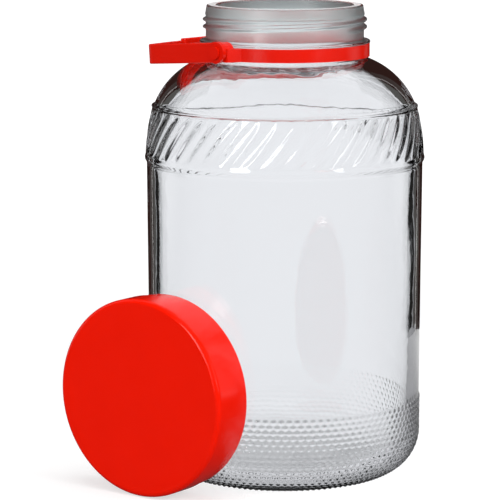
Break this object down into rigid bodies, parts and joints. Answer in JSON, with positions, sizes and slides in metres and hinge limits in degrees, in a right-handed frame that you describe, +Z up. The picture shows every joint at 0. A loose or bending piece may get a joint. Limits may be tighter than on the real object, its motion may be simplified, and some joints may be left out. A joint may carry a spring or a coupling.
{
  "type": "glass storage jar",
  "caption": "Tall clear glass storage jar with a fluted shoulder band, a threaded mouth, a plastic carry handle on a neck band and its deep screw lid standing beside it.",
  "frame": {"origin": "centre of the jar's base, on the ground", "axes": "+Z up the jar's axis; the handle's pivot axis lies along Y; the handle is folded out towards -X; the lid stands on the -Y side"},
  "size_m": [0.1736, 0.2094, 0.2924],
  "materials": {
    "clear_glass": "clear, smooth",
    "red_plastic": "glossy"
  },
  "bodies": {
    "jar": {"jar_glass": "clear_glass", "neck_band": "red_plastic", "screw_lid": "red_plastic"},
    "handle": {"carry_handle": "red_plastic"}
  },
  "joints": [
    {"name": "handle_pivot", "type": "hinge", "parent": "jar", "child": "handle", "pos_m": [0, 0, 0.2665], "axis": [0, 1, 0], "range_deg": [0, 188]}
  ]
}
